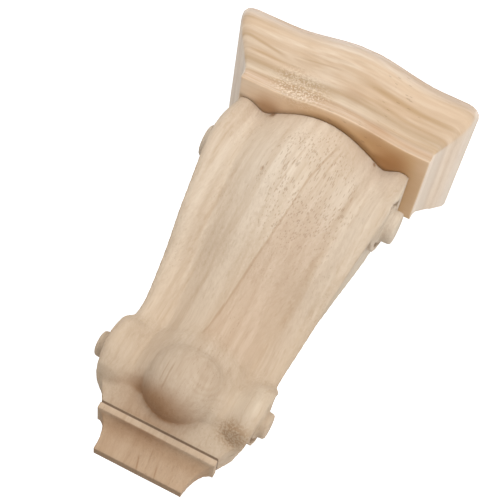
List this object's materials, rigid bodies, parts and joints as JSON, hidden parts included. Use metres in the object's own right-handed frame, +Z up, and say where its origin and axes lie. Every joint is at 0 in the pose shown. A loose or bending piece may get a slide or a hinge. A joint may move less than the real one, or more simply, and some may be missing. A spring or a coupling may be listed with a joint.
{
  "type": "wood corbel",
  "caption": "Small carved wood corbel with a serpentine moulded crown, a swelling scrolled body with side volutes, and a coved foot; it fixes flat against a wall.",
  "frame": {"origin": "on the flat wall face, on the body's centre line, 80 mm above the underside of the foot", "axes": "+Z up, +Y into the wall, so the carved front faces -Y, +X to the right as seen from the front"},
  "size_m": [0.0942, 0.0646, 0.1565],
  "materials": {
    "crown_wood": "sanded and unfinished",
    "body_wood": "sanded and unfinished"
  },
  "bodies": {
    "root": {"crown": "crown_wood", "body": "body_wood"}
  },
  "joints": []
}
